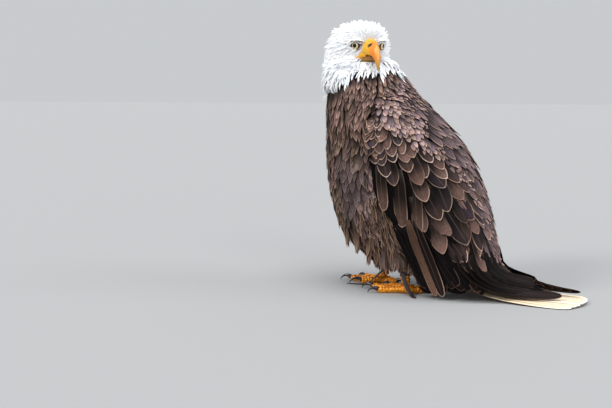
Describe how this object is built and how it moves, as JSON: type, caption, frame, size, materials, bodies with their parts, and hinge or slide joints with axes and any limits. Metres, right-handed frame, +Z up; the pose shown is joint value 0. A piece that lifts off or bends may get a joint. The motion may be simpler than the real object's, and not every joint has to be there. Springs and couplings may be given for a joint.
{
  "type": "bald eagle",
  "caption": "Life-size still model of an adult bald eagle standing with folded wings, its head turned over the left side, with leather anklets and short jesses.",
  "frame": {"origin": "on the floor under the middle of the bird's box", "axes": "+Z up from the floor, -Y ahead of the breast, +X to the bird's own left"},
  "size_m": [0.2378, 0.5562, 0.5486],
  "materials": {
    "plumage_white": "soft white contour feathers",
    "plumage_brown": "soft dark brown feathers with paler margins",
    "wing_feathers": "smooth dark brown vanes with pale beige fringes",
    "tail_feathers": "smooth cream and white vanes with tan shading",
    "foot_skin": "scaly orange-yellow skin, slightly glossy",
    "bill_horn": "smooth deep yellow horn, satin gloss",
    "claw_horn": "black horn, glossy",
    "eye": "wet pale yellow iris with a black pupil",
    "strap_leather": "dark brown oiled leather"
  },
  "bodies": {
    "root": {"head": "plumage_white", "neck": "plumage_white", "trunk": "plumage_brown", "bill_upper": "bill_horn", "bill_lower": "bill_horn", "tail": "tail_feathers", "eye_left": "eye", "eye_right": "eye", "wing_left": "wing_feathers", "wing_right": "wing_feathers", "thigh_left": "plumage_brown", "thigh_right": "plumage_brown", "shank_left": "foot_skin", "shank_right": "foot_skin", "foot_left": "foot_skin", "foot_right": "foot_skin", "claw_inner_left": "claw_horn", "claw_middle_left": "claw_horn", "claw_outer_left": "claw_horn", "claw_hind_left": "claw_horn", "claw_inner_right": "claw_horn", "claw_middle_right": "claw_horn", "claw_outer_right": "claw_horn", "claw_hind_right": "claw_horn", "anklet_left": "strap_leather", "anklet_right": "strap_leather", "jess_left": "strap_leather", "jess_right": "strap_leather"}
  },
  "joints": []
}
